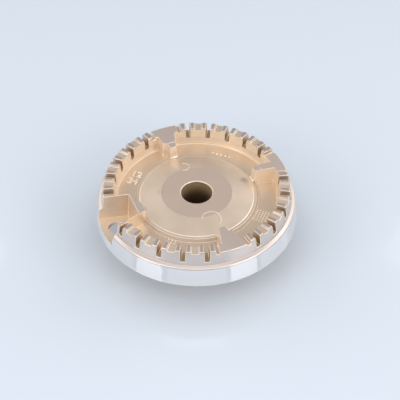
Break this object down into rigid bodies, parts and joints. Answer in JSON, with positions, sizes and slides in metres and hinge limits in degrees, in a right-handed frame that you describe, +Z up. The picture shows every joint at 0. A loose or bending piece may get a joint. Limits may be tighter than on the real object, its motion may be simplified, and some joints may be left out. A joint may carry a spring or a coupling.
{
  "type": "gas hob burner head",
  "caption": "Round cast burner head for a gas hob, with a castellated ring of flame slots, a raised centre with a gas bore, an electrode recess and a tube below.",
  "frame": {"origin": "burner axis at the lower end of the tube, where the part stands on a table", "axes": "+Z up along the burner axis, flame slots on top; the picture looks along +Y, with the electrode recess at 202.5 degrees from +X"},
  "size_m": [0.075, 0.075, 0.0288],
  "materials": {
    "cast_aluminium": "satin as-cast surface, turned bright on the skirt and the ring's outer wall"
  },
  "bodies": {
    "root": {"burner_head": "cast_aluminium"}
  },
  "joints": []
}
